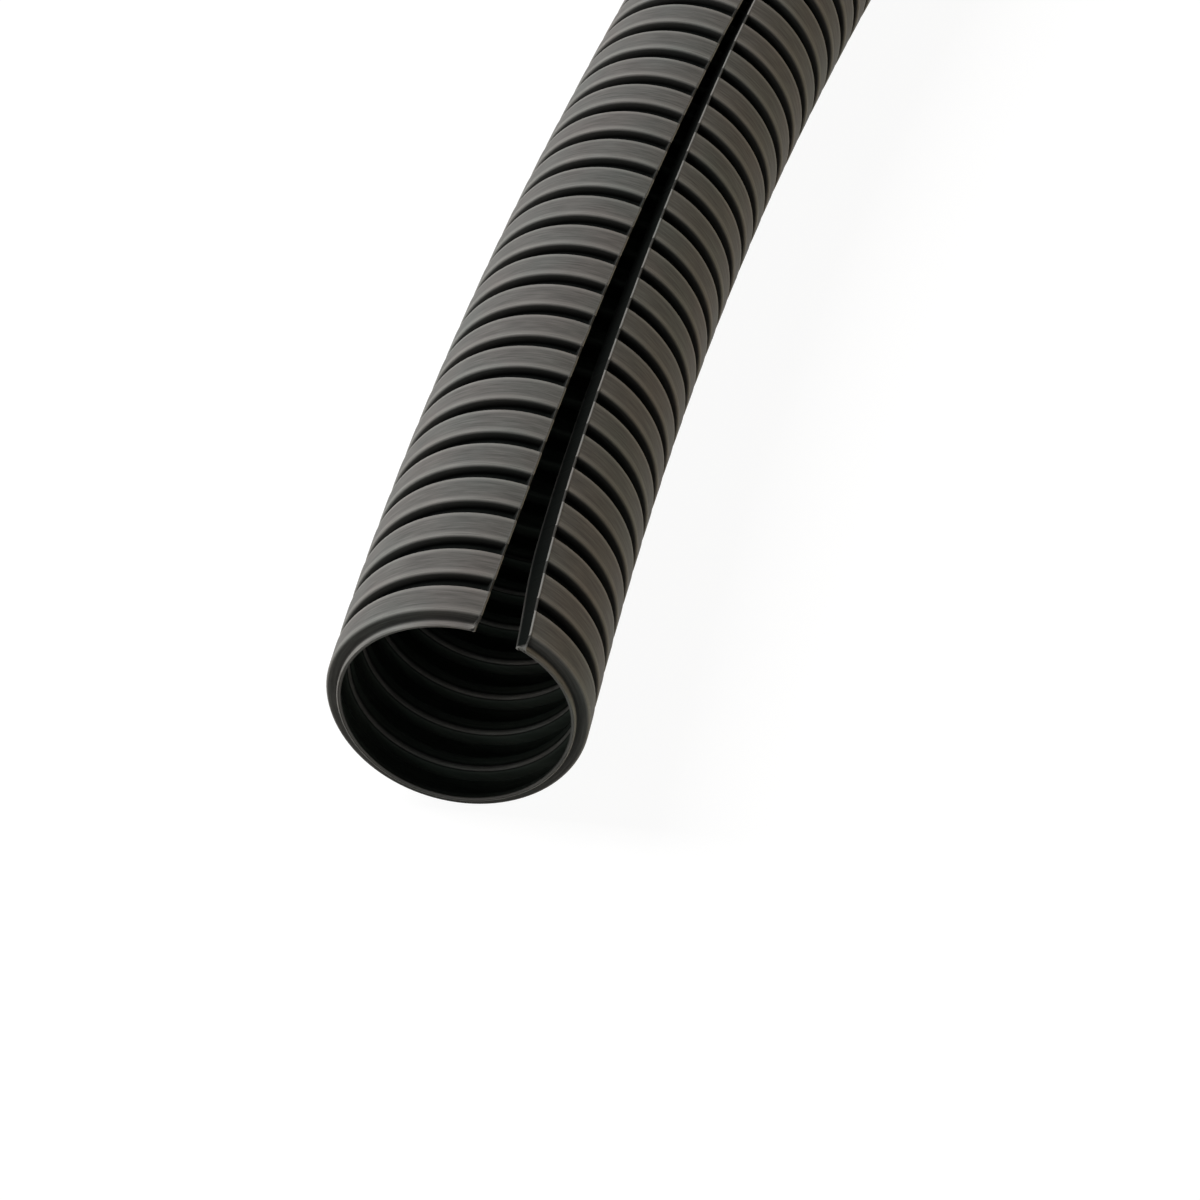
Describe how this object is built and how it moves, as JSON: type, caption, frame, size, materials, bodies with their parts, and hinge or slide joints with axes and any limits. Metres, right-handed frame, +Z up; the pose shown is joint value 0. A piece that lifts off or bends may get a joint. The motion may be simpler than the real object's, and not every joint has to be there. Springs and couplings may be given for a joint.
{
  "type": "corrugated conduit",
  "caption": "Split corrugated plastic conduit: a thin-walled tube with wide crests, narrow grooves and a slit along it for laying cables in from the side.",
  "frame": {"origin": "on the tube's middle line, at the middle of the first crest, where a coupling seats", "axes": "+Z up, the tube runs from the mouth towards +Y and bends towards +X, and lies on the floor at its lowest crests"},
  "size_m": [0.1202, 0.5004, 0.0576],
  "materials": {
    "conduit": "matt dark grey moulded plastic, lightly scuffed"
  },
  "bodies": {
    "root": {"conduit": "conduit"}
  },
  "joints": []
}
